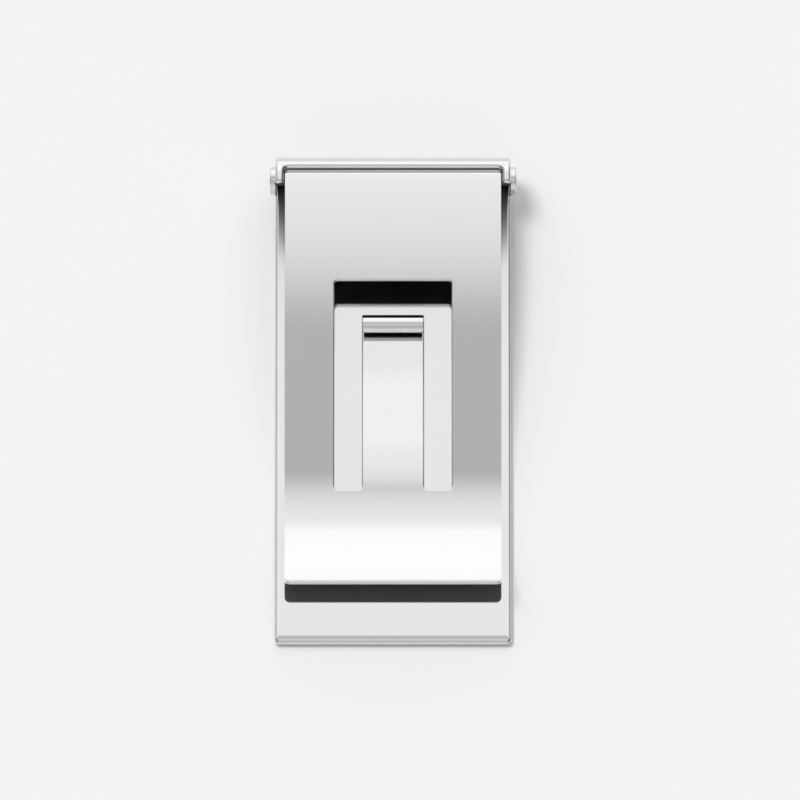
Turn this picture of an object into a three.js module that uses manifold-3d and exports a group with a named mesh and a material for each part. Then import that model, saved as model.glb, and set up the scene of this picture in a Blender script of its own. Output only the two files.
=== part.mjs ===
// A hinged money clip in polished steel: a plate whose end is rolled into a hinge channel, and a spring
// leaf that turns on a pin in that channel and holds folded notes against the plate.
//
// Millimetres. X runs across the clip, +Y runs along it towards the hinge, +Z is up, from the plate to
// the leaf. The origin is the centre of the bounding box's bottom, on the plate's flat outer face.

import * as THREE from 'three';
import { mergeVertices } from 'three/addons/utils/BufferGeometryUtils.js';
import Module from 'manifold-3d';

const wasm = await Module();
wasm.setup();

// ---------------------------------------------------------------- driving dimensions

// Plate, with the hinge channel rolled from its end.
const PLATE_LENGTH = 54.7;        // over the channel
const PLATE_WIDTH = 25.0;
const PLATE_SHEET = 0.84;
const PLATE_CORNER = 0.45;        // radius of the free end's corners
const SWEEP_ANGLES = [2.5, 6.4];  // degrees of the two slow curves that lift the plate to the channel
const SWEEP_RADII = [250, 84];
const CHANNEL_CLEARANCE = 0.06;   // between the channel's inside and the leaf's knuckle
const CHANNEL_LIP_RADIUS = 11.5;  // slow curve of the lips that run forward from the channel's top
const CHANNEL_LIP_ANGLE = 6;
const CHANNEL_LIP_WIDTH = 0.91;   // of the lip left on each side of the notch
const NOTCH_ANGLE = 16;           // degrees from the channel's top back to the notch's end
const NOTCH_CORNER = 0.6;

// Leaf.
const LEAF_SHEET = 0.55;
const LEAF_CORNER = 0.35;
const LEAF_SIDE_GAP = 0.34;       // between the leaf's edge and the notch's side
const KNUCKLE_WRAP = 262;         // degrees that the leaf's end is rolled round its bushes
const LEAF_RISE_ANGLE = 1.5;      // degrees that the leaf climbs as it leaves the knuckle
const LEAF_RISE_RUN = 0.6;
const LEAF_SHOULDER_RADIUS = 25;
const LEAF_FALL_STRAIGHT = 0.42;  // share of the fall to the contact line that is straight
const LEAF_HEEL_RADIUS = 40;      // curve that levels the leaf out at its contact line
const CONTACT_SETBACK = 13.9;     // contact line, from the plate's free end
const CONTACT_GAP = 0.3;          // under the contact line, for the first note
const LIP_RADIUS = 17;            // flared lip, from the contact line to the tip
const LIP_ANGLE = 27.8;

// Window in the leaf, and the tongue that stands in it, cut from the same sheet.
const SLOT_WIDTH = 2.9;           // on each side of the tongue
const WINDOW_CORNER = 0.4;
const WINDOW_SETBACK = 3.4;       // from the contact line to the window's lower end
const WINDOW_SHOULDER = 12.0;     // from the pin's axis to the window's upper end
const TONGUE_WIDTH = 6.6;
const TONGUE_ROOT_GAP = 0.08;     // between the tongue's solid and the leaf's at the root
const TONGUE_LEVEL_RADIUS = 30;   // levels the tongue out beyond its root
const TONGUE_DROP_STRAIGHT = 0.56; // share of its slow drop to the plate that is straight
const TONGUE_FLAT_RUN = 3.6;      // level stretch before the curl
const TONGUE_GAP = 0.12;          // under the tongue's end
const CURL_RADIUS = 1.15;         // outside of the curl at the tongue's end
const CURL_WRAP = 250;
const CURL_SETBACK = 4.15;        // from the window's upper end to the curl's centre

// Hinge: two bushes on a pin, and a torsion spring between them.
const PIN_RADIUS = 0.35;
const PIN_CLEARANCE = 0.03;       // pin in its bushes
const SLEEVE_RADIUS = 0.98;
const BUSH_CLEARANCE = 0.07;      // knuckle on its bushes
const SLEEVE_PROUD = 0.3;         // of the knuckle, into the spring's bay
const NECK_WALL = 0.15;           // of the bush's neck, from the sleeve to its web
const WEB_SHEET = 0.15;           // of the disc that fills the channel's end
const WEB_CLEARANCE = 0.05;       // web in the channel
const BOSS_RADIUS = 1.48;
const BOSS_LENGTH = 0.55;
const BOSS_CHAMFER = 0.12;
const PIN_END_PROUD = 0.06;
const SPRING_BAY = 7.0;           // width of the gap between the two knuckles
const SPRING_WIRE = 0.34;
const SPRING_CLEARANCE = 0.07;    // coil on the pin
const SPRING_TURNS = 9.25;
const SPRING_TURN_GAP = 0.06;
const SPRING_REST_GAP = 0.06;     // between the spring's arms and what they bear on
const SPRING_FOOT_RUN = 2.4;      // reach of the arm on the plate, from the axis

// Facets.
const TIGHT_FACET = 9;            // most degrees in a facet of a bend
const SLOW_FACET = 25;            // radius, in millimetres, that earns a slow curve one more facet
const FEWEST_FACETS = 3;
const ROUND_FACETS = 32;
const COIL_FACETS = 14;           // to a turn of the spring
const FOOT_POINTS = 3;            // on the spring's arm on the plate
const ARM_POINTS = 2;             // on its arm behind the leaf's edge

// ---------------------------------------------------------------- helpers

const radians = THREE.MathUtils.degToRad;

// Walks a sheet's middle line from a start, in the plane (along, up). A step is either a straight
// { run } or a { turn, radius } with the turn in degrees, positive to the left.
function walk(start, steps) {
  const line = [{ ...start }];
  let { y, z, heading } = start;
  for (const step of steps) {
    if (step.run !== undefined) {
      y += step.run * Math.cos(heading);
      z += step.run * Math.sin(heading);
      line.push({ y, z, heading });
      continue;
    }
    const turn = radians(step.turn);
    const side = Math.sign(turn);
    const tight = Math.ceil(Math.abs(step.turn) / TIGHT_FACET);
    const slow = Math.ceil(step.radius / SLOW_FACET);
    const count = Math.max(FEWEST_FACETS, tight, slow);
    const centreY = y - side * step.radius * Math.sin(heading);
    const centreZ = z + side * step.radius * Math.cos(heading);
    for (let i = 1; i <= count; i += 1) {
      const now = heading + (turn * i) / count;
      line.push({
        y: centreY + side * step.radius * Math.sin(now),
        z: centreZ - side * step.radius * Math.cos(now),
        heading: now,
      });
    }
    ({ y, z, heading } = line.at(-1));
  }
  return line;
}

// The point at a distance to the left of a place on a line.
function aside({ y, z, heading }, distance) {
  return new THREE.Vector2(y - distance * Math.sin(heading), z + distance * Math.cos(heading));
}

// Two opposite arcs with a straight between them, from level to level, that reach along and down. The
// straight is a share of the reach, and radii is what the two arcs' radii come to together.
function slowDrop(reach, drop, straightShare) {
  const run = reach * straightShare;
  const radii = (reach ** 2 + drop ** 2 - run ** 2) / (2 * drop);
  const angle = Math.atan2(radii, run) - Math.atan2(radii - drop, reach);
  return { run, radii, angle: THREE.MathUtils.radToDeg(angle) };
}

// The place on a line at a distance along, between the ends of the facet that spans it.
function placeAt(line, y) {
  const i = line.findIndex((place) => place.y >= y);
  const share = (y - line[i - 1].y) / (line[i].y - line[i - 1].y);
  return {
    y,
    z: THREE.MathUtils.lerp(line[i - 1].z, line[i].z, share),
    heading: THREE.MathUtils.lerp(line[i - 1].heading, line[i].heading, share),
  };
}

// Turns a geometry into a solid that can be cut.
function toSolid(geometry) {
  geometry.deleteAttribute('normal');
  geometry.deleteAttribute('uv');
  const merged = mergeVertices(geometry, 1e-5);
  return new wasm.Manifold(new wasm.Mesh({
    numProp: 3,
    vertProperties: Float32Array.from(merged.attributes.position.array),
    triVerts: Uint32Array.from(merged.index.array),
  }));
}

function toGeometry(solid) {
  const mesh = solid.getMesh();
  const geometry = new THREE.BufferGeometry();
  geometry.setAttribute('position', new THREE.BufferAttribute(mesh.vertProperties, 3));
  geometry.setIndex(new THREE.BufferAttribute(mesh.triVerts, 1));
  geometry.computeVertexNormals();
  return geometry;
}

// A bent sheet of even thickness, as wide as given and centred on the middle plane.
function bentSheet(line, thickness, width) {
  const left = line.map((place) => aside(place, thickness / 2));
  const right = line.map((place) => aside(place, -thickness / 2));
  const shape = new THREE.Shape([...right, ...left.reverse()]);
  const geometry = new THREE.ExtrudeGeometry(shape, { depth: width, bevelEnabled: false });
  geometry.translate(0, 0, -width / 2);
  const [along, up, across] = [[0, 1, 0], [0, 0, 1], [1, 0, 0]].map((axis) => new THREE.Vector3(...axis));
  geometry.applyMatrix4(new THREE.Matrix4().makeBasis(along, up, across));
  return toSolid(geometry);
}

// An upright prism with rounded corners, given by its sides.
function uprightPrism({ x, y, z, corner }) {
  const [left, right] = x;
  const [front, back] = y;
  const outline = new THREE.Shape();
  outline.moveTo(left + corner, front);
  outline.lineTo(right - corner, front);
  outline.absarc(right - corner, front + corner, corner, -Math.PI / 2, 0, false);
  outline.lineTo(right, back - corner);
  outline.absarc(right - corner, back - corner, corner, 0, Math.PI / 2, false);
  outline.lineTo(left + corner, back);
  outline.absarc(left + corner, back - corner, corner, Math.PI / 2, Math.PI, false);
  outline.lineTo(left, front + corner);
  outline.absarc(left + corner, front + corner, corner, Math.PI, Math.PI * 1.5, false);
  const depth = z[1] - z[0];
  const geometry = new THREE.ExtrudeGeometry(outline, { depth, bevelEnabled: false, curveSegments: 5 });
  geometry.translate(0, 0, z[0]);
  return toSolid(geometry);
}

// A box for cutting, with sharp corners.
function cutter({ x, y, z }) {
  const geometry = new THREE.BoxGeometry(x[1] - x[0], y[1] - y[0], z[1] - z[0]);
  geometry.translate((x[0] + x[1]) / 2, (y[0] + y[1]) / 2, (z[0] + z[1]) / 2);
  return toSolid(geometry);
}

// A turned piece on the hinge's axis. The profile holds [x, radius] pairs.
function turned(profile) {
  const points = profile.map(([x, radius]) => new THREE.Vector2(radius, x));
  const geometry = new THREE.LatheGeometry(points, ROUND_FACETS);
  geometry.rotateZ(-Math.PI / 2);
  geometry.translate(0, axisY, axisZ);
  return geometry;
}

// ---------------------------------------------------------------- shared places

const freeEnd = -PLATE_LENGTH / 2;
const halfWidth = PLATE_WIDTH / 2;

// Radii round the pin's axis, from the pin out to the channel.
const coilMiddle = PIN_RADIUS + SPRING_CLEARANCE + SPRING_WIRE / 2;
const knuckleBore = SLEEVE_RADIUS + BUSH_CLEARANCE;
const knuckleMiddle = knuckleBore + LEAF_SHEET / 2;
const channelInside = knuckleBore + LEAF_SHEET + CHANNEL_CLEARANCE;
const channelMiddle = channelInside + PLATE_SHEET / 2;
const channelOutside = channelInside + PLATE_SHEET;

// The plate's middle line: flat, two slow curves, then the channel. A first walk from the origin
// gives the length that the curves take up, and the flat part gets the rest.
const sweeps = SWEEP_ANGLES.map((turn, i) => ({ turn, radius: SWEEP_RADII[i] }));
const channel = { turn: 180 - SWEEP_ANGLES[0] - SWEEP_ANGLES[1], radius: channelMiddle };
const channelLip = { turn: CHANNEL_LIP_ANGLE, radius: CHANNEL_LIP_RADIUS };
const sweepEnd = walk({ y: 0, z: PLATE_SHEET / 2, heading: 0 }, sweeps).at(-1);
const sweptAxis = aside(sweepEnd, channelMiddle);
const axisY = PLATE_LENGTH / 2 - channelOutside;
const axisZ = sweptAxis.y;
const flatLength = axisY - sweptAxis.x - freeEnd;
const plateStart = { y: freeEnd, z: PLATE_SHEET / 2, heading: 0 };
const plateLine = walk(plateStart, [{ run: flatLength }, ...sweeps, channel, channelLip]);

// The notch in the channel, which the leaf comes out of.
const notchHalf = halfWidth - CHANNEL_LIP_WIDTH;
const notchY = axisY + channelOutside * Math.sin(radians(NOTCH_ANGLE));
const leafWidth = 2 * (notchHalf - LEAF_SIDE_GAP);
const tallEnough = axisZ + channelOutside + 1;

// The leaf's middle line, from the knuckle's inner end round the axis and out to the tip.
const knuckleEndHeading = radians(180 - LEAF_RISE_ANGLE);
const knuckleStartHeading = knuckleEndHeading - radians(KNUCKLE_WRAP);
const knuckleStart = {
  y: axisY + knuckleMiddle * Math.sin(knuckleStartHeading),
  z: axisZ - knuckleMiddle * Math.cos(knuckleStartHeading),
  heading: knuckleStartHeading,
};
const shoulderSteps = [
  { turn: KNUCKLE_WRAP, radius: knuckleMiddle },
  { run: LEAF_RISE_RUN },
  { turn: LEAF_RISE_ANGLE, radius: LEAF_SHOULDER_RADIUS },
];
const shoulder = walk(knuckleStart, shoulderSteps).at(-1);
const contactY = freeEnd + CONTACT_SETBACK;
const contactZ = PLATE_SHEET + CONTACT_GAP + LEAF_SHEET / 2;
const fall = slowDrop(shoulder.y - contactY, shoulder.z - contactZ, LEAF_FALL_STRAIGHT);
const leafLine = walk(knuckleStart, [
  ...shoulderSteps,
  { turn: fall.angle, radius: fall.radii - LEAF_HEEL_RADIUS },
  { run: fall.run },
  { turn: -fall.angle, radius: LEAF_HEEL_RADIUS },
  { turn: -LIP_ANGLE, radius: LIP_RADIUS },
]);

// The window, and the curl of the tongue that stands in it.
const windowWidth = TONGUE_WIDTH + 2 * SLOT_WIDTH;
const windowStart = contactY + WINDOW_SETBACK;
const windowEnd = axisY - WINDOW_SHOULDER;
const curlY = windowEnd - CURL_SETBACK;

// ---------------------------------------------------------------- pieces

function basePlate() {
  const sheet = bentSheet(plateLine, PLATE_SHEET, PLATE_WIDTH);
  const outline = uprightPrism({
    x: [-halfWidth, halfWidth],
    y: [freeEnd, PLATE_LENGTH / 2 + PLATE_CORNER + 1],
    z: [-1, tallEnough],
    corner: PLATE_CORNER,
  });
  const notch = uprightPrism({
    x: [-notchHalf, notchHalf],
    y: [axisY - channelOutside - 1, notchY],
    z: [axisZ, tallEnough],
    corner: NOTCH_CORNER,
  });
  return toGeometry(sheet.intersect(outline).subtract(notch));
}

function clipLeaf() {
  const sheet = bentSheet(leafLine, LEAF_SHEET, leafWidth);
  const outline = uprightPrism({
    x: [-leafWidth / 2, leafWidth / 2],
    y: [leafLine.at(-1).y - LEAF_SHEET, PLATE_LENGTH / 2],
    z: [0, tallEnough],
    corner: LEAF_CORNER,
  });
  const window = uprightPrism({
    x: [-windowWidth / 2, windowWidth / 2],
    y: [windowStart, windowEnd],
    z: [0, tallEnough],
    corner: WINDOW_CORNER,
  });
  const bay = [-SPRING_BAY / 2, SPRING_BAY / 2];
  const behind = cutter({
    x: bay,
    y: [notchY + SPRING_REST_GAP, axisY + channelOutside],
    z: [0, tallEnough],
  });
  const below = cutter({
    x: bay,
    y: [axisY - channelOutside, axisY + channelOutside],
    z: [axisZ - channelOutside, axisZ + PIN_RADIUS],
  });
  return toGeometry(sheet.intersect(outline).subtract(window).subtract(behind).subtract(below));
}

// The tongue is drawn from its root, where it carries on the leaf's own curve, to the curl.
function springTongue() {
  const rootY = windowStart + TONGUE_ROOT_GAP;
  const rootRise = Math.asin((rootY - contactY) / LEAF_HEEL_RADIUS);
  const root = {
    y: rootY,
    z: contactZ + LEAF_HEEL_RADIUS * (1 - Math.cos(rootRise)),
    heading: rootRise,
  };
  const level = { turn: -THREE.MathUtils.radToDeg(rootRise), radius: TONGUE_LEVEL_RADIUS };
  const levelEnd = walk(root, [level]).at(-1);
  const endZ = PLATE_SHEET + TONGUE_GAP + LEAF_SHEET / 2;
  const dropReach = curlY - TONGUE_FLAT_RUN - levelEnd.y;
  const drop = slowDrop(dropReach, levelEnd.z - endZ, TONGUE_DROP_STRAIGHT);
  const line = walk(root, [
    level,
    { turn: -drop.angle, radius: drop.radii / 2 },
    { run: drop.run },
    { turn: drop.angle, radius: drop.radii / 2 },
    { run: TONGUE_FLAT_RUN },
    { turn: CURL_WRAP, radius: CURL_RADIUS - LEAF_SHEET / 2 },
  ]);
  return toGeometry(bentSheet(line, LEAF_SHEET, TONGUE_WIDTH));
}

// Each bush has a boss outside the plate, a web in the channel's end, a neck and a sleeve for the knuckle.
function hingeBush(side) {
  const bore = PIN_RADIUS + PIN_CLEARANCE;
  const neck = bore + NECK_WALL;
  const web = channelInside - WEB_CLEARANCE;
  const bossEnd = halfWidth + BOSS_LENGTH;
  const sleeveEnd = SPRING_BAY / 2 - SLEEVE_PROUD;
  const profile = [
    [sleeveEnd, bore],
    [sleeveEnd, SLEEVE_RADIUS],
    [leafWidth / 2, SLEEVE_RADIUS],
    [leafWidth / 2, neck],
    [halfWidth - WEB_SHEET, neck],
    [halfWidth - WEB_SHEET, web],
    [halfWidth, web],
    [halfWidth, BOSS_RADIUS],
    [bossEnd - BOSS_CHAMFER, BOSS_RADIUS],
    [bossEnd, BOSS_RADIUS - BOSS_CHAMFER],
    [bossEnd, bore],
    [sleeveEnd, bore],
  ];
  const placed = profile.map(([x, radius]) => [side * x, radius]);
  return turned(side > 0 ? placed : placed.reverse());
}

function hingePin() {
  const end = halfWidth + BOSS_LENGTH + PIN_END_PROUD;
  return turned([[-end, 0], [-end, PIN_RADIUS], [end, PIN_RADIUS], [end, 0]]);
}

// The spring's wire runs from the arm on the plate, round its turns, to the arm behind the leaf's edge.
function torsionSpring() {
  const wire = SPRING_WIRE / 2;
  const halfCoil = (SPRING_TURNS * (SPRING_WIRE + SPRING_TURN_GAP)) / 2;
  const foot = placeAt(plateLine, axisY - SPRING_FOOT_RUN);
  const footSpot = aside(foot, PLATE_SHEET / 2 + wire + SPRING_REST_GAP);
  const points = [];
  for (let i = 0; i < FOOT_POINTS; i += 1) {
    points.push(new THREE.Vector3(
      -halfCoil,
      THREE.MathUtils.lerp(footSpot.x, axisY, i / FOOT_POINTS),
      THREE.MathUtils.lerp(footSpot.y, axisZ - coilMiddle, i / FOOT_POINTS),
    ));
  }
  const coilSteps = SPRING_TURNS * COIL_FACETS;
  for (let i = 0; i <= coilSteps; i += 1) {
    const angle = (i / COIL_FACETS) * 2 * Math.PI;
    points.push(new THREE.Vector3(
      THREE.MathUtils.lerp(-halfCoil, halfCoil, i / coilSteps),
      axisY + coilMiddle * Math.sin(angle),
      axisZ - coilMiddle * Math.cos(angle),
    ));
  }
  const armBack = Math.max(notchY - axisY + 2 * SPRING_REST_GAP + wire, coilMiddle);
  const armTop = Math.sqrt((channelInside - wire - SPRING_REST_GAP) ** 2 - armBack ** 2);
  for (let i = 1; i <= ARM_POINTS; i += 1) {
    points.push(new THREE.Vector3(halfCoil, axisY + armBack, axisZ + (armTop * i) / ARM_POINTS));
  }
  const path = new THREE.CatmullRomCurve3(points, false, 'centripetal');
  const section = new THREE.Shape();
  section.absarc(0, 0, wire, 0, 2 * Math.PI, false);
  return new THREE.ExtrudeGeometry(section, {
    extrudePath: path,
    steps: points.length,
    curveSegments: 4,
    bevelEnabled: false,
  });
}

// ---------------------------------------------------------------- assembly

const polished = { color: 0xe6e6e6, roughness: 0.08, metalness: 1 };
const turnedSteel = { color: 0xd2d2d4, roughness: 0.18, metalness: 1 };
const springSteel = { color: 0xb4b4b6, roughness: 0.3, metalness: 1 };

const clip = new THREE.Group();

function add(name, geometry, finish) {
  const mesh = new THREE.Mesh(geometry, new THREE.MeshStandardMaterial(finish));
  mesh.name = name;
  clip.add(mesh);
}

add('base_plate', basePlate(), polished);
add('clip_leaf', clipLeaf(), polished);
add('spring_tongue', springTongue(), polished);
add('hinge_bush_left', hingeBush(-1), turnedSteel);
add('hinge_bush_right', hingeBush(1), turnedSteel);
add('hinge_pin', hingePin(), turnedSteel);
add('torsion_spring', torsionSpring(), springSteel);

export default clip;
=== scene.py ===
"""A hinged money clip in polished steel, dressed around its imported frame.

Both sheets are drawn as flat blanks, cut and with their edges rounded, and then bent along the same
middle lines as the frame's. Shapes are worked out in millimetres and stored in metres.
"""

import math

import bmesh
import bpy
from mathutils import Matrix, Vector


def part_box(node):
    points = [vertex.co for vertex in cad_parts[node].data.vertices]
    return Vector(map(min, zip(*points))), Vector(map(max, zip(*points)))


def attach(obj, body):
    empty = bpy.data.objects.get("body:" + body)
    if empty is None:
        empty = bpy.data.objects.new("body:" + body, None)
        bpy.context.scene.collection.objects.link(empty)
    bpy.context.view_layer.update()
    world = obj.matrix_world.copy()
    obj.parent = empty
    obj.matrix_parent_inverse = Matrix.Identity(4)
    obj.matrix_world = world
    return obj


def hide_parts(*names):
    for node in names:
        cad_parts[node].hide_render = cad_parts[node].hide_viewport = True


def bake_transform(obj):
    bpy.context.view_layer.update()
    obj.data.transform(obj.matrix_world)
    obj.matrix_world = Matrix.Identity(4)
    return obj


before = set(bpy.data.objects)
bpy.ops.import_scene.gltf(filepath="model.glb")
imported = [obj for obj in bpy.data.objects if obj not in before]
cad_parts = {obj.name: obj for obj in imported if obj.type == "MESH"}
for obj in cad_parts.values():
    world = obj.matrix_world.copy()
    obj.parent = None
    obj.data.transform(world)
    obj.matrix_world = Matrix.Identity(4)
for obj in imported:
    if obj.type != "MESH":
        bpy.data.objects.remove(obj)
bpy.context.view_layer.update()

MM = 0.001

# ---------------------------------------------------------------- places from the frame


def box(node):
    """A node's lowest and highest corners in millimetres."""
    low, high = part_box(node)
    return low / MM, high / MM


plate_low, plate_high = box("base_plate")
_, leaf_high = box("clip_leaf")
_, tongue_high = box("spring_tongue")
pin_low, pin_high = box("hinge_pin")
bush_low, bush_high = box("hinge_bush_right")
spring_low, spring_high = box("torsion_spring")

AXIS_Y = (pin_low.y + pin_high.y) / 2
AXIS_Z = (pin_low.z + pin_high.z) / 2
PIN_RADIUS = (pin_high.z - pin_low.z) / 2
FREE_END = plate_low.y
HALF_PLATE = plate_high.x
HALF_LEAF = leaf_high.x
HALF_TONGUE = tongue_high.x
CHANNEL_OUTSIDE = plate_high.y - AXIS_Y
WEB_RADIUS = bush_high.z - AXIS_Z

# ---------------------------------------------------------------- shape values, in millimetres

PLATE_SHEET = 0.84
PLATE_CORNER = 0.45
PLATE_EDGE = 0.36
FREE_END_REACH = 2.8               # run of the free end's top edge, in times its depth
SWEEP_ANGLES = (2.5, 6.4)          # the two slow curves that lift the plate to the channel
SWEEP_RADII = (250, 84)
CHANNEL_LIP_RADIUS = 11.5
CHANNEL_LIP_ANGLE = 6
CHANNEL_LIP_WIDTH = 0.91
NOTCH_ANGLE = 16                   # from the channel's top back to the notch's end
NOTCH_CORNER = 0.6

LEAF_SHEET = 0.55
LEAF_CORNER = 0.35
LEAF_EDGE = 0.2
KNUCKLE_WRAP = 262                 # angles are in degrees
LEAF_RISE_ANGLE = 1.5
LEAF_RISE_RUN = 0.6
LEAF_SHOULDER_RADIUS = 25
LEAF_FALL_STRAIGHT = 0.42          # share of the fall to the contact line that is straight
LEAF_HEEL_RADIUS = 40
CONTACT_SETBACK = 13.9             # contact line, from the free end
CONTACT_GAP = 0.3
LIP_RADIUS = 17
LIP_ANGLE = 27.8
SPRING_BAY = 7.0                   # gap between the two knuckles
BAY_CORNER = 0.3
BAY_GAP = 0.06                     # between the notch and the bay's end

SLOT_WIDTH = 2.9
WINDOW_CORNER = 0.4
WINDOW_SETBACK = 3.4
WINDOW_SHOULDER = 12.0
TONGUE_ROOT_GAP = 0.08
TONGUE_LEVEL_RADIUS = 30
TONGUE_DROP_STRAIGHT = 0.56        # share of its slow drop that is straight
TONGUE_FLAT_RUN = 3.6
TONGUE_GAP = 0.12
TONGUE_CORNER = 0.3
TONGUE_SPLIT = 0.55                # from the window's lower end to where the tongue's piece starts
CURL_RADIUS = 1.15
CURL_WRAP = 250
CURL_SETBACK = 4.15

BOSS_RADIUS = 1.48
BOSS_EDGE = 0.12
BUSH_EDGE = 0.05
SLEEVE_RADIUS = 0.98
NECK_WALL = 0.15
WEB_SHEET = 0.15
BORE_CLEARANCE = 0.03
PIN_EDGE = 0.08

SPRING_WIRE = 0.34
SPRING_TURNS = 9.25
SPRING_PITCH = 0.4
COIL_RADIUS = 0.59

# ---------------------------------------------------------------- fineness

EDGE_STEPS = 5
CORNER_STEPS = 6
TIGHT_STEP = math.radians(4)
SLOW_STEP = 0.6                    # most millimetres between stations on a curve
ROUND_SEGMENTS = 96
WIRE_SIDES = 16
COIL_STEPS = 24                    # to a turn of the spring
HALVINGS = 60                      # of a length, to find a place on a line
TINY = 1e-6
SHARP = 0.3                        # cosine to its face below which a stored normal isn't used

# ---------------------------------------------------------------- middle lines


def walk(y, z, heading, steps):
    """Follows a sheet's middle line through (run,) and (turn in degrees, radius) steps, as a list of
    stretches of even bend."""
    line, at = [], 0.0
    for step in steps:
        length = step[0] if len(step) == 1 else abs(math.radians(step[0])) * step[1]
        bend = 0.0 if len(step) == 1 else math.copysign(1 / step[1], step[0])
        line.append({"at": at, "length": length, "y": y, "z": z, "heading": heading, "bend": bend})
        y, z, heading = place(line, at + length)
        at += length
    return line


def place(line, s):
    """The point and heading on a line at a distance along it."""
    stretch = line[0]
    for other in line[1:]:
        if other["at"] <= s:
            stretch = other
    y, z, heading, bend = (stretch[key] for key in ("y", "z", "heading", "bend"))
    run = s - stretch["at"]
    if bend == 0:
        return y + run * math.cos(heading), z + run * math.sin(heading), heading
    after = heading + bend * run
    along = (math.sin(after) - math.sin(heading)) / bend
    up = (math.cos(heading) - math.cos(after)) / bend
    return y + along, z + up, after


def length_of(line):
    return line[-1]["at"] + line[-1]["length"]


def stations(line):
    """Distances along a line that are close enough for its bends to look smooth."""
    found = []
    for stretch in line:
        count = 1
        if stretch["bend"]:
            tight = stretch["length"] * abs(stretch["bend"]) / TIGHT_STEP
            count = math.ceil(max(tight, stretch["length"] / SLOW_STEP))
        found += [stretch["at"] + stretch["length"] * i / count for i in range(count)]
    return found + [length_of(line)]


def reach_to(line, y, low, high):
    """The distance along a line, between two others, at which it passes a place y."""
    rising = place(line, high)[0] > place(line, low)[0]
    for _ in range(HALVINGS):
        middle = (low + high) / 2
        if (place(line, middle)[0] < y) == rising:
            low = middle
        else:
            high = middle
    return low


def slow_drop(reach, drop, straight_share):
    """Two opposite arcs with a straight between them, from level to level: its run, the sum of the
    two radii, and the angle in degrees."""
    run = reach * straight_share
    radii = (reach ** 2 + drop ** 2 - run ** 2) / (2 * drop)
    angle = math.atan2(radii, run) - math.atan2(radii - drop, reach)
    return run, radii, math.degrees(angle)


def plate_line():
    middle = CHANNEL_OUTSIDE - PLATE_SHEET / 2
    sweeps = list(zip(SWEEP_ANGLES, SWEEP_RADII))
    swept = walk(0, PLATE_SHEET / 2, 0, sweeps)
    y, _, heading = place(swept, length_of(swept))
    flat = AXIS_Y - (y - middle * math.sin(heading)) - FREE_END
    channel = (180 - sum(SWEEP_ANGLES), middle)
    lip = (CHANNEL_LIP_ANGLE, CHANNEL_LIP_RADIUS)
    return walk(FREE_END, PLATE_SHEET / 2, 0, [(flat,), *sweeps, channel, lip])


KNUCKLE_MIDDLE = leaf_high.y - AXIS_Y - LEAF_SHEET / 2
CONTACT_Y = FREE_END + CONTACT_SETBACK
CONTACT_Z = PLATE_SHEET + CONTACT_GAP + LEAF_SHEET / 2
WINDOW_START = CONTACT_Y + WINDOW_SETBACK
WINDOW_END = AXIS_Y - WINDOW_SHOULDER
CURL_Y = WINDOW_END - CURL_SETBACK


def leaf_line():
    heading = math.radians(180 - LEAF_RISE_ANGLE - KNUCKLE_WRAP)
    y = AXIS_Y + KNUCKLE_MIDDLE * math.sin(heading)
    z = AXIS_Z - KNUCKLE_MIDDLE * math.cos(heading)
    steps = [
        (KNUCKLE_WRAP, KNUCKLE_MIDDLE),
        (LEAF_RISE_RUN,),
        (LEAF_RISE_ANGLE, LEAF_SHOULDER_RADIUS),
    ]
    rise = walk(y, z, heading, steps)
    shoulder_y, shoulder_z, _ = place(rise, length_of(rise))
    run, radii, angle = slow_drop(shoulder_y - CONTACT_Y, shoulder_z - CONTACT_Z, LEAF_FALL_STRAIGHT)
    fall = [(angle, radii - LEAF_HEEL_RADIUS), (run,), (-angle, LEAF_HEEL_RADIUS)]
    return walk(y, z, heading, steps + fall + [(-LIP_ANGLE, LIP_RADIUS)])


def tongue_line():
    """The tongue's middle line from its root, which carries on the leaf's own curve, to the curl."""
    y = WINDOW_START + TONGUE_ROOT_GAP
    rise = math.asin((y - CONTACT_Y) / LEAF_HEEL_RADIUS)
    z = CONTACT_Z + LEAF_HEEL_RADIUS * (1 - math.cos(rise))
    level = (-math.degrees(rise), TONGUE_LEVEL_RADIUS)
    level_y, level_z, _ = place(walk(y, z, rise, [level]), math.radians(-level[0]) * level[1])
    end_z = PLATE_SHEET + TONGUE_GAP + LEAF_SHEET / 2
    reach = CURL_Y - TONGUE_FLAT_RUN - level_y
    run, radii, angle = slow_drop(reach, level_z - end_z, TONGUE_DROP_STRAIGHT)
    steps = [
        level,
        (-angle, radii / 2),
        (run,),
        (angle, radii / 2),
        (TONGUE_FLAT_RUN,),
        (CURL_WRAP, CURL_RADIUS - LEAF_SHEET / 2),
    ]
    return walk(y, z, rise, steps)


# ---------------------------------------------------------------- flat blanks


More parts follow.
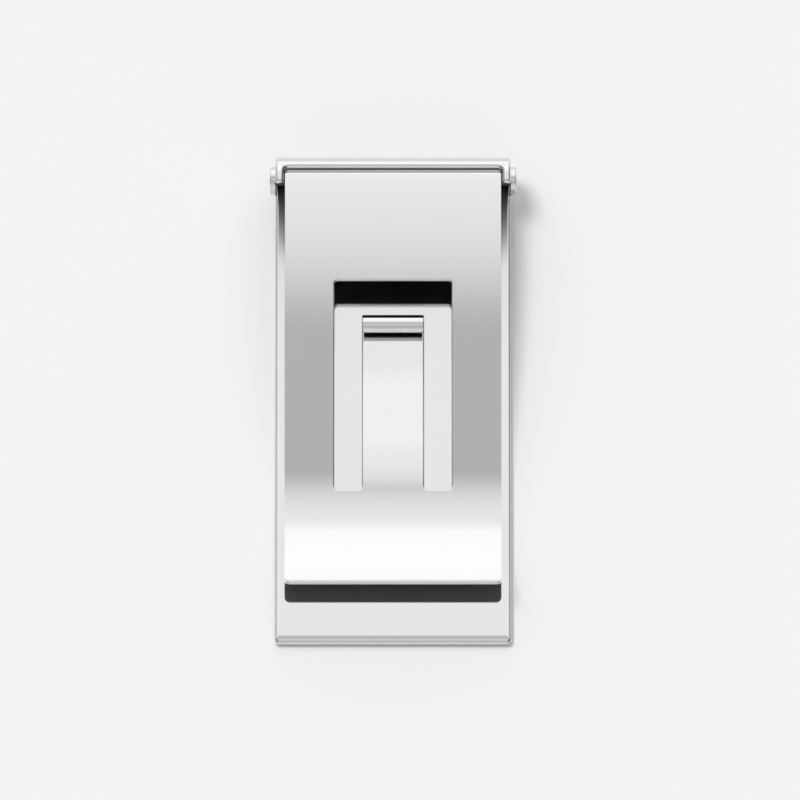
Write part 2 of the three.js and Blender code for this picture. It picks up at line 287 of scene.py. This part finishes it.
def rounded_loop(corners):
    """Rounds the corners of a closed outline, given as (a, b, radius) with its inside on the left, and
    returns (a, b, outward a, outward b) for every point."""
    points = []
    for i, (a, b, radius) in enumerate(corners):
        before, after = corners[i - 1], corners[(i + 1) % len(corners)]
        arriving = math.atan2(b - before[1], a - before[0])
        leaving = math.atan2(after[1] - b, after[0] - a)
        turn = math.remainder(leaving - arriving, 2 * math.pi)
        if abs(turn) < TINY:
            points.append((a, b, math.sin(leaving), -math.cos(leaving)))
            continue
        if radius == 0:
            points.append((a, b, math.sin(arriving), -math.cos(arriving)))
            points.append((a, b, math.sin(leaving), -math.cos(leaving)))
            continue
        back = radius * math.tan(abs(turn) / 2)
        side = math.copysign(1, turn)
        start_a, start_b = a - back * math.cos(arriving), b - back * math.sin(arriving)
        centre_a = start_a - side * radius * math.sin(arriving)
        centre_b = start_b + side * radius * math.cos(arriving)
        for step in range(CORNER_STEPS + 1):
            heading = arriving + turn * step / CORNER_STEPS
            out_a, out_b = math.sin(heading), -math.cos(heading)
            reach = side * radius
            points.append((centre_a + reach * out_a, centre_b + reach * out_b, out_a, out_b))
    return points


def edge_layers(thickness, radius):
    """The (inset, height, outward share, upward share) of each ring of a rounded edge, top to bottom."""
    layers = []
    for side in (1, -1):
        angles = [math.pi / 2 * i / EDGE_STEPS for i in range(EDGE_STEPS + 1)]
        for angle in reversed(angles) if side > 0 else angles:
            inset = radius * (1 - math.cos(angle))
            height = side * (thickness / 2 - radius * (1 - math.sin(angle)))
            layers.append((inset, height, math.cos(angle), side * math.sin(angle)))
    return layers


def centre_path(ring, start, end, side):
    """The part of a ring of vertices from start to end that lies on one side of the middle plane."""
    count = len(ring)
    for step in (1, -1):
        path = [ring[start]]
        i = start
        while i != end:
            i = (i + step) % count
            path.append(ring[i])
        if all(v.co.y * side > 0 for v in path[1:-1]):
            return path
    raise ValueError("the outline crosses the middle plane more than twice")


def fill_cap(bm, rings):
    """Closes a blank's face, in two halves if it has a hole."""
    if len(rings) == 1:
        bm.faces.new(rings[0])
        return
    ends = []
    for ring in rings:
        middle = [i for i, v in enumerate(ring) if abs(v.co.y) < TINY]
        ends.append(sorted(middle, key=lambda i, ring=ring: ring[i].co.x))
    for side in (1, -1):
        outer = centre_path(rings[0], ends[0][0], ends[0][1], side)
        inner = centre_path(rings[1], ends[1][1], ends[1][0], side)
        bm.faces.new(outer + inner)


def flat_blank(loops, thickness, edge, cuts, start_reach=1):
    """A flat sheet with rounded edges, as (along, across, height), cut at every station. The top edge
    at its start runs back start_reach times as far as the others."""
    bm = bmesh.new()
    normal = bm.verts.layers.float_vector.new("flat_normal")
    layers = edge_layers(thickness, edge)
    rings = []
    for loop in loops:
        rings.append([])
        for inset, height, outward, upward in layers:
            ring = []
            for a, b, out_a, out_b in loop:
                reach = start_reach if out_a < 0 and a < edge + TINY and upward > 0 else 1
                vertex = bm.verts.new((a - inset * out_a * reach, b - inset * out_b, height))
                vertex[normal] = (out_a * outward / reach, out_b * outward, upward)
                ring.append(vertex)
            rings[-1].append(ring)
    for stack in rings:
        for upper, lower in zip(stack, stack[1:]):
            for i in range(len(upper)):
                bm.faces.new((upper[i - 1], upper[i], lower[i], lower[i - 1]))
    fill_cap(bm, [stack[0] for stack in rings])
    fill_cap(bm, [stack[-1] for stack in rings])
    for cut in sorted(cuts):
        geometry = [*bm.verts, *bm.edges, *bm.faces]
        bmesh.ops.bisect_plane(bm, geom=geometry, dist=TINY, plane_co=(cut, 0, 0), plane_no=(1, 0, 0))
    return bm


def bend_blank(bm, where):
    """Bends a blank. where(along, across, height) gives a point's along again, its line and the side
    of the line that counts as up."""
    flat = bm.verts.layers.float_vector["flat_normal"]
    for vertex in bm.verts:
        along, across, height = vertex.co
        line, s, way, up = where(along, across, height)
        y, z, heading = place(line, s)
        side_y, side_z = -up * math.sin(heading), up * math.cos(heading)
        vertex.co = (across, y + height * side_y, z + height * side_z)
        out_s, out_x, out_h = vertex[flat]
        vertex[flat] = (
            out_x,
            out_s * way * math.cos(heading) + out_h * side_y,
            out_s * way * math.sin(heading) + out_h * side_z,
        )


def finish_mesh(bm, name, body, node, slot, *materials):
    """Turns a bmesh in millimetres into a piece in metres, shaded by the normals stored with it."""
    stored = bm.verts.layers.float_vector["flat_normal"]
    bmesh.ops.recalc_face_normals(bm, faces=bm.faces)
    bm.normal_update()
    normals = []
    for face in bm.faces:
        face.smooth = True
        for loop in face.loops:
            smooth = Vector(loop.vert[stored]).normalized()
            normals.append(smooth if smooth.dot(face.normal) > SHARP else face.normal.copy())
    bmesh.ops.scale(bm, vec=(MM, MM, MM), verts=bm.verts)
    mesh = bpy.data.meshes.new(name)
    bm.to_mesh(mesh)
    bm.free()
    mesh.attributes.remove(mesh.attributes["flat_normal"])
    mesh.normals_split_custom_set(normals)
    piece = bpy.data.objects.new(name, mesh)
    bpy.context.scene.collection.objects.link(piece)
    for material in materials:
        mesh.materials.append(material)
    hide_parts(node)
    if body:
        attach(piece, body)
    return piece


# ---------------------------------------------------------------- materials


MARK_SCALE = 220                   # fine polishing marks, stretched by each material's streak
MARK_DETAIL = 3
MARK_SPAN = (0.3, 0.7)
MARK_BUMP = 0.05
MARK_DEPTH = 0.002 * MM
HAZE_SCALE = 260
HAZE_DETAIL = 4
HAZE_TINT = (0.985, 1.0)
ROUGHNESS_SPREAD = (0.85, 1.2)
STREAK_ALONG = (40, 4, 40)
STREAK_ROUND = (4, 40, 40)
# Very dark colour of the rough undersides, hinge insides and plate near the fold: painted shade for the
# gaps and hollows that lie in shadow. The higher roughness stands for the real unpolished finish.
SATIN_AND_PAINTED_SHADE = (0.15, 0.15, 0.155)
SATIN_ROUGHNESS = 0.42


def polished_steel(name, colour, roughness, streak=STREAK_ALONG, shade_span=None):
    """Polished steel with faint polishing marks and a slight haze. Its last argument gives two places
    along the clip between which the polish gives way to a rougher finish with a very dark colour,
    painted shade near the fold."""
    material = bpy.data.materials.new(name)
    material.use_nodes = True
    nodes, links = material.node_tree.nodes, material.node_tree.links
    shader = nodes["Principled BSDF"]
    shader.inputs["Metallic"].default_value = 1.0
    coordinates = nodes.new("ShaderNodeTexCoord")

    marks = nodes.new("ShaderNodeTexNoise")
    marks.inputs["Scale"].default_value = MARK_SCALE
    marks.inputs["Detail"].default_value = MARK_DETAIL
    stretch = nodes.new("ShaderNodeMapping")
    stretch.inputs["Scale"].default_value = streak
    links.new(coordinates.outputs["Object"], stretch.inputs["Vector"])
    links.new(stretch.outputs["Vector"], marks.inputs["Vector"])

    haze = nodes.new("ShaderNodeTexNoise")
    haze.inputs["Scale"].default_value = HAZE_SCALE
    haze.inputs["Detail"].default_value = HAZE_DETAIL
    links.new(coordinates.outputs["Object"], haze.inputs["Vector"])

    tint = nodes.new("ShaderNodeMapRange")
    tint.inputs["To Min"].default_value = HAZE_TINT[0]
    tint.inputs["To Max"].default_value = HAZE_TINT[1]
    links.new(haze.outputs["Fac"], tint.inputs["Value"])
    shade = nodes.new("ShaderNodeMix")
    shade.data_type = "RGBA"
    shade.blend_type = "MULTIPLY"
    shade.inputs["Factor"].default_value = 1.0
    shade.inputs["A"].default_value = (*colour, 1)
    links.new(tint.outputs["Result"], shade.inputs["B"])
    links.new(shade.outputs["Result"], shader.inputs["Base Color"])

    rough = nodes.new("ShaderNodeMapRange")
    rough.inputs["From Min"].default_value = MARK_SPAN[0]
    rough.inputs["From Max"].default_value = MARK_SPAN[1]
    rough.inputs["To Min"].default_value = roughness * ROUGHNESS_SPREAD[0]
    rough.inputs["To Max"].default_value = roughness * ROUGHNESS_SPREAD[1]
    links.new(marks.outputs["Fac"], rough.inputs["Value"])
    links.new(rough.outputs["Result"], shader.inputs["Roughness"])
    # Painted shade: between the two places the colour darkens to the satin's dark tone, and the
    # roughness rises.
    if shade_span:
        along = nodes.new("ShaderNodeSeparateXYZ")
        links.new(coordinates.outputs["Object"], along.inputs["Vector"])
        painted_shade_share = nodes.new("ShaderNodeMapRange")
        painted_shade_share.interpolation_type = "SMOOTHSTEP"
        painted_shade_share.inputs["From Min"].default_value = shade_span[0] * MM
        painted_shade_share.inputs["From Max"].default_value = shade_span[1] * MM
        links.new(along.outputs["Y"], painted_shade_share.inputs["Value"])
        shaded_colours = nodes.new("ShaderNodeMix")
        shaded_colours.data_type = "RGBA"
        links.new(painted_shade_share.outputs["Result"], shaded_colours.inputs["Factor"])
        links.new(shade.outputs["Result"], shaded_colours.inputs["A"])
        shaded_colours.inputs["B"].default_value = (*SATIN_AND_PAINTED_SHADE, 1)
        links.new(shaded_colours.outputs["Result"], shader.inputs["Base Color"])
        hazier = nodes.new("ShaderNodeMix")
        links.new(painted_shade_share.outputs["Result"], hazier.inputs["Factor"])
        links.new(rough.outputs["Result"], hazier.inputs["A"])
        hazier.inputs["B"].default_value = SATIN_ROUGHNESS
        links.new(hazier.outputs["Result"], shader.inputs["Roughness"])

    bump = nodes.new("ShaderNodeBump")
    bump.inputs["Strength"].default_value = MARK_BUMP
    bump.inputs["Distance"].default_value = MARK_DEPTH
    links.new(marks.outputs["Fac"], bump.inputs["Height"])
    links.new(bump.outputs["Normal"], shader.inputs["Normal"])
    return material


STEEL = (0.77, 0.77, 0.775)
# Places along the clip over which the plate's top darkens with painted shade towards the channel.
FOLD_PAINTED_SHADE = (AXIS_Y - 9.5, AXIS_Y - 1.0)
sheet_steel = polished_steel("sheet_steel", STEEL, roughness=0.07)
fold_painted_shade_steel = polished_steel("fold_painted_shade_steel", STEEL, roughness=0.07, shade_span=FOLD_PAINTED_SHADE)
turned_steel = polished_steel("turned_steel", (0.74, 0.74, 0.745), roughness=0.12, streak=STREAK_ROUND)
wire_steel = polished_steel("wire_steel", (0.5, 0.5, 0.51), roughness=0.28)
satin_painted_shade_steel = polished_steel("satin_painted_shade_steel", SATIN_AND_PAINTED_SHADE, SATIN_ROUGHNESS)

# ---------------------------------------------------------------- the plate


def base_plate():
    line = plate_line()
    end = length_of(line)
    top = line[-1]["at"]
    reach = CHANNEL_OUTSIDE * math.sin(math.radians(NOTCH_ANGLE))
    radius = CHANNEL_OUTSIDE - PLATE_SHEET / 2
    notch = top - radius * math.asin(reach / radius)
    half = HALF_PLATE - CHANNEL_LIP_WIDTH
    outline = rounded_loop([
        (0, -HALF_PLATE, PLATE_CORNER),
        (end, -HALF_PLATE, PLATE_EDGE),
        (end, -half, PLATE_EDGE),
        (notch, -half, NOTCH_CORNER),
        (notch, 0, 0),
        (notch, half, NOTCH_CORNER),
        (end, half, PLATE_EDGE),
        (end, HALF_PLATE, PLATE_EDGE),
        (0, HALF_PLATE, PLATE_CORNER),
        (0, 0, 0),
    ])

    def where(along, across, height):
        in_notch = notch - PLATE_EDGE - TINY < along < notch + NOTCH_CORNER
        if in_notch and abs(across) < half + TINY:
            along += radius * (math.asin(reach / radius) - math.asin(reach / (radius - height)))
        return line, along, 1, 1

    bm = flat_blank([outline], PLATE_SHEET, PLATE_EDGE, stations(line)[1:-1], FREE_END_REACH)
    # The plate's top faces take the material that darkens with painted shade towards the fold.
    for face in bm.faces:
        face.material_index = int(face.calc_center_median().z > PLATE_SHEET / 2 - TINY)
    bend_blank(bm, where)
    return finish_mesh(bm, "plate_sheet", "plate", "base_plate", "plate_steel", sheet_steel, fold_painted_shade_steel)


# ---------------------------------------------------------------- the leaf and its tongue


def leaf_and_tongue():
    """One blank holds the leaf and its tongue, which is cut free on three sides by the slot round it.
    Past the root the tongue bends along a line of its own, and it becomes a piece of its own."""
    line, own = leaf_line(), tongue_line()
    end = length_of(line)
    knuckle = line[1]["at"]
    bay_reach = CHANNEL_OUTSIDE * math.sin(math.radians(NOTCH_ANGLE)) + BAY_GAP
    bay_angle = math.asin(bay_reach / KNUCKLE_MIDDLE) - math.radians(LEAF_RISE_ANGLE)
    bay = knuckle - KNUCKLE_MIDDLE * bay_angle
    start = reach_to(line, WINDOW_START, knuckle, end)
    finish = reach_to(line, WINDOW_END, knuckle, end)
    root = reach_to(line, WINDOW_START + TONGUE_ROOT_GAP, knuckle, end)
    split = root - TONGUE_SPLIT
    tip = root - length_of(own)
    half_window = HALF_TONGUE + SLOT_WIDTH
    half_bay = SPRING_BAY / 2
    outline = rounded_loop([
        (0, -HALF_LEAF, LEAF_CORNER),
        (0, -half_bay, LEAF_CORNER),
        (bay, -half_bay, BAY_CORNER),
        (bay, 0, 0),
        (bay, half_bay, BAY_CORNER),
        (0, half_bay, LEAF_CORNER),
        (0, HALF_LEAF, LEAF_CORNER),
        (end, HALF_LEAF, LEAF_CORNER),
        (end, 0, 0),
        (end, -HALF_LEAF, LEAF_CORNER),
    ])
    slot = rounded_loop([
        (finish, -half_window, WINDOW_CORNER),
        (finish, 0, 0),
        (finish, half_window, WINDOW_CORNER),
        (start, half_window, WINDOW_CORNER),
        (start, HALF_TONGUE, WINDOW_CORNER),
        (tip, HALF_TONGUE, TONGUE_CORNER),
        (tip, 0, 0),
        (tip, -HALF_TONGUE, TONGUE_CORNER),
        (start, -HALF_TONGUE, WINDOW_CORNER),
        (start, -half_window, WINDOW_CORNER),
    ])

    def in_tongue(along, across):
        return abs(across) < HALF_TONGUE + SLOT_WIDTH / 2 and (finish + tip) / 2 < along < root

    def where(along, across, height):
        if in_tongue(along, across):
            return own, root - along, -1, 1
        return line, along, 1, -1

    cuts = stations(line)[1:-1] + [root - s for s in stations(own)[:-1]] + [split]
    bm = flat_blank([outline, slot], LEAF_SHEET, LEAF_EDGE, cuts)
    curl = root - own[-1]["at"]
    tongue_faces = set()
    # Faces that face the plate, and the inside of the tongue's curl, take the very dark satin: painted
    # shade for the gap and the hollow.
    for face in bm.faces:
        middle = face.calc_center_median()
        side = 1 if in_tongue(middle.x, middle.y) and middle.x < curl else -1
        face.material_index = int(middle.z * side > LEAF_SHEET / 2 - TINY)
        if middle.x < split and in_tongue(middle.x, middle.y):
            tongue_faces.add(face.index)
    bend_blank(bm, where)
    halves = []
    for keep_tongue in (False, True):
        part = bm.copy()
        part.faces.ensure_lookup_table()
        part.faces.index_update()
        unwanted = [f for f in part.faces if (f.index in tongue_faces) != keep_tongue]
        bmesh.ops.delete(part, geom=unwanted, context="FACES")
        open_edges = [e for e in part.edges if e.is_boundary]
        bmesh.ops.holes_fill(part, edges=open_edges, sides=0)
        halves.append(part)
    bm.free()
    looks = (sheet_steel, satin_painted_shade_steel)
    leaf = finish_mesh(halves[0], "leaf_sheet", "leaf", "clip_leaf", "leaf_steel", *looks)
    tongue = finish_mesh(halves[1], "tongue_sheet", None, "spring_tongue", "tongue_steel", *looks)
    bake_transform(tongue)
    return leaf, tongue


# ---------------------------------------------------------------- the hinge


def turned(name, corners, body, node, slot, dark_to=0):
    """A turned piece on the hinge's axis, from the (x, radius, rounding) corners of its profile. What
    lies nearer the middle than the last argument takes the very dark satin, painted shade for the hollow
    of the channel."""
    bm = bmesh.new()
    normal = bm.verts.layers.float_vector.new("flat_normal")
    rings = []
    for x, radius, out_x, out_r in rounded_loop(corners):
        count = ROUND_SEGMENTS if radius > TINY else 1
        ring = []
        for i in range(count):
            angle = 2 * math.pi * i / ROUND_SEGMENTS
            along, up = math.cos(angle), math.sin(angle)
            vertex = bm.verts.new((x, AXIS_Y + radius * along, AXIS_Z + radius * up))
            vertex[normal] = (out_x, out_r * along, out_r * up)
            ring.append(vertex)
        rings.append(ring)
    for ring, following in zip(rings, rings[1:] + rings[:1]):
        if len(ring) == len(following) == 1:
            continue
        for i in range(ROUND_SEGMENTS):
            before, after = (i - 1) % len(ring), i % len(ring)
            next_before, next_after = (i - 1) % len(following), i % len(following)
            quad = (ring[before], ring[after], following[next_after], following[next_before])
            face = bm.faces.new(list(dict.fromkeys(quad)))
            face.material_index = int(abs(face.calc_center_median().x) < dark_to)
    return finish_mesh(bm, name, body, node, slot, turned_steel, satin_painted_shade_steel)


def hinge_bushes():
    bore = PIN_RADIUS + BORE_CLEARANCE
    sleeve_end = bush_low.x
    neck = bore + NECK_WALL
    end = bush_high.x
    profile = [
        (sleeve_end, bore, BUSH_EDGE),
        (end, bore, BUSH_EDGE),
        (end, BOSS_RADIUS, BOSS_EDGE),
        (HALF_PLATE, BOSS_RADIUS, BUSH_EDGE / 2),
        (HALF_PLATE, WEB_RADIUS, BUSH_EDGE / 2),
        (HALF_PLATE - WEB_SHEET, WEB_RADIUS, BUSH_EDGE / 2),
        (HALF_PLATE - WEB_SHEET, neck, BUSH_EDGE),
        (HALF_LEAF, neck, BUSH_EDGE),
        (HALF_LEAF, SLEEVE_RADIUS, BUSH_EDGE),
        (sleeve_end, SLEEVE_RADIUS, BUSH_EDGE),
    ]
    # Inside the plate's sides the bushes take the very dark satin: painted shade in the channel's
    # hollow.
    turned("bush_right", profile, "plate", "hinge_bush_right", "bush_steel", dark_to=HALF_PLATE - TINY)
    mirrored = [(-x, radius, rounding) for x, radius, rounding in profile][::-1]
    turned("bush_left", mirrored, "plate", "hinge_bush_left", "bush_steel", dark_to=HALF_PLATE - TINY)


def hinge_pin():
    end = pin_high.x
    profile = [
        (-end, 0, 0),
        (end, 0, 0),
        (end, PIN_RADIUS, PIN_EDGE),
        (-end, PIN_RADIUS, PIN_EDGE),
    ]
    turned("pin_rod", profile, "plate", "hinge_pin", "pin_steel")


def torsion_spring():
    """The wire runs from the arm on the plate, round its turns, to the arm behind the leaf's edge."""
    half = SPRING_TURNS * SPRING_PITCH / 2
    foot_y = spring_low.y + SPRING_WIRE / 2
    foot_z = spring_low.z + SPRING_WIRE / 2
    arm_top = spring_high.z - SPRING_WIRE / 4
    path = [Vector((-half, foot_y, foot_z))]
    steps = round(SPRING_TURNS * COIL_STEPS)
    for i in range(steps + 1):
        angle = 2 * math.pi * SPRING_TURNS * i / steps
        x = -half + 2 * half * i / steps
        y = AXIS_Y + COIL_RADIUS * math.sin(angle)
        path.append(Vector((x, y, AXIS_Z - COIL_RADIUS * math.cos(angle))))
    path.append(Vector((half, spring_high.y - SPRING_WIRE / 2, arm_top)))
    curve = bpy.data.curves.new("spring_wire", "CURVE")
    curve.dimensions = "3D"
    spline = curve.splines.new("POLY")
    spline.points.add(len(path) - 1)
    for point, spot in zip(spline.points, path):
        point.co = (*(spot * MM), 1)
    curve.bevel_depth = SPRING_WIRE / 2 * MM
    curve.bevel_resolution = WIRE_SIDES // 4
    curve.use_fill_caps = True
    wire = bpy.data.objects.new("spring_curve", curve)
    bpy.context.scene.collection.objects.link(wire)
    bpy.context.view_layer.update()
    mesh = bpy.data.meshes.new_from_object(wire)
    bpy.data.objects.remove(wire)
    piece = bpy.data.objects.new("spring_wire", mesh)
    bpy.context.scene.collection.objects.link(piece)
    mesh.materials.clear()
    mesh.materials.append(wire_steel)
    mesh.shade_smooth()
    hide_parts("torsion_spring")
    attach(piece, "leaf")


# ---------------------------------------------------------------- studio

CAMERA_ELEVATION = math.radians(66)
CAMERA_DISTANCE = 3.0
CAMERA_FIELD = 0.0847              # width of the picture at the object
CAMERA_TARGET = Vector((0.74, 1.04, 0)) * MM
CAMERA_CLIP = (0.1, 10)
FLOOR_HALF = 2.0
FLOOR_DROP = 0.01 * MM             # under the plate's face
FLOOR_LEVEL = 0.85
FLOOR_ROUGHNESS = 0.9
KEY_ENERGY = 1.42
KEY_SPREAD = math.radians(24)
KEY_FROM = Vector((-1, 0.7, 2.2))


def studio_camera():
    data = bpy.data.cameras.new("camera")
    data.lens = data.sensor_width * CAMERA_DISTANCE / CAMERA_FIELD
    data.clip_start, data.clip_end = CAMERA_CLIP
    camera = bpy.data.objects.new("camera", data)
    back = Vector((0, -math.cos(CAMERA_ELEVATION), math.sin(CAMERA_ELEVATION)))
    camera.location = CAMERA_TARGET + back * CAMERA_DISTANCE
    camera.rotation_euler = (-back).to_track_quat("-Z", "Y").to_euler()
    bpy.context.scene.collection.objects.link(camera)
    bpy.context.scene.camera = camera


def studio_floor():
    mesh = bpy.data.meshes.new("floor")
    around = [(-1, -1), (1, -1), (1, 1), (-1, 1)]
    corners = [(x * FLOOR_HALF, y * FLOOR_HALF, -FLOOR_DROP) for x, y in around]
    mesh.from_pydata(corners, [], [(0, 1, 2, 3)])
    floor = bpy.data.objects.new("floor", mesh)
    bpy.context.scene.collection.objects.link(floor)
    material = bpy.data.materials.new("floor_card")
    material.use_nodes = True
    shader = material.node_tree.nodes["Principled BSDF"]
    shader.inputs["Base Color"].default_value = (FLOOR_LEVEL, FLOOR_LEVEL, FLOOR_LEVEL, 1)
    shader.inputs["Roughness"].default_value = FLOOR_ROUGHNESS
    shader.inputs["Specular IOR Level"].default_value = 0.0
    floor.data.materials.append(material)


# Brightness of the studio by the angle, in degrees, that a direction leans from straight up towards the
# camera's side, with the hinge's side negative.
STUDIO = [
    (-180, 0.8), (-90, 1.15), (-75, 1.34), (-34, 1.32), (-28, 1.11), (-23, 1.06),
    (-19, 1.0), (-15, 0.88), (-11, 0.65), (-7, 0.52), (-3, 0.6), (4, 0.78),
    (14, 0.82), (20, 0.6), (48, 0.56), (58, 0.88), (90, 0.88), (180, 0.8),
]
# The same by how far a direction points to the right, from -1 to 1. The two are multiplied.
SIDES = [(-1, 0.2), (-0.7, 0.5), (-0.4, 1.0), (0.4, 1.0), (0.7, 0.25), (1, 0.05)]
STUDIO_STRENGTH = 2.0              # the ramps hold half of each level, because they stop at 1


def level_ramp(tree, value, levels):
    """A smooth ramp through (value, level) pairs."""
    low, high = levels[0][0], levels[-1][0]
    share = tree.nodes.new("ShaderNodeMapRange")
    share.inputs["From Min"].default_value = low
    share.inputs["From Max"].default_value = high
    tree.links.new(value, share.inputs["Value"])
    ramp = tree.nodes.new("ShaderNodeValToRGB")
    ramp.color_ramp.interpolation = "B_SPLINE"
    elements = ramp.color_ramp.elements
    elements[0].position, elements[1].position = 0, 1
    for mark, _ in levels[1:-1]:
        elements.new((mark - low) / (high - low))
    for element, (_, level) in zip(elements, levels):
        shade = level / STUDIO_STRENGTH
        element.color = (shade, shade, shade, 1)
    tree.links.new(share.outputs["Result"], ramp.inputs["Fac"])
    return ramp.outputs["Color"]


def studio_world():
    world = bpy.data.worlds.new("studio")
    bpy.context.scene.world = world
    world.use_nodes = True
    tree = world.node_tree
    coordinates = tree.nodes.new("ShaderNodeTexCoord")
    split = tree.nodes.new("ShaderNodeSeparateXYZ")
    tree.links.new(coordinates.outputs["Generated"], split.inputs["Vector"])
    flip = tree.nodes.new("ShaderNodeMath")
    flip.operation = "MULTIPLY"
    flip.inputs[1].default_value = -1
    tree.links.new(split.outputs["Y"], flip.inputs[0])
    lean = tree.nodes.new("ShaderNodeMath")
    lean.operation = "ARCTAN2"
    tree.links.new(flip.outputs[0], lean.inputs[0])
    tree.links.new(split.outputs["Z"], lean.inputs[1])
    degrees = tree.nodes.new("ShaderNodeMath")
    degrees.operation = "DEGREES"
    tree.links.new(lean.outputs[0], degrees.inputs[0])
    both = tree.nodes.new("ShaderNodeMix")
    both.data_type = "RGBA"
    both.blend_type = "MULTIPLY"
    both.inputs["Factor"].default_value = 1.0
    tree.links.new(level_ramp(tree, degrees.outputs[0], STUDIO), both.inputs["A"])
    tree.links.new(level_ramp(tree, split.outputs["X"], SIDES), both.inputs["B"])
    background = tree.nodes["Background"]
    background.inputs["Strength"].default_value = STUDIO_STRENGTH ** 2
    tree.links.new(both.outputs["Result"], background.inputs["Color"])


def key_light():
    data = bpy.data.lights.new("key", "SUN")
    data.energy = KEY_ENERGY
    data.angle = KEY_SPREAD
    key = bpy.data.objects.new("key", data)
    key.rotation_euler = KEY_FROM.to_track_quat("Z", "Y").to_euler()
    key.visible_glossy = False
    bpy.context.scene.collection.objects.link(key)


def studio_view():
    view = bpy.context.scene.view_settings
    view.view_transform = "Standard"
    view.look = "None"


studio_camera()
studio_floor()
studio_world()
key_light()
studio_view()
base_plate()
leaf_and_tongue()
hinge_bushes()
hinge_pin()
torsion_spring()
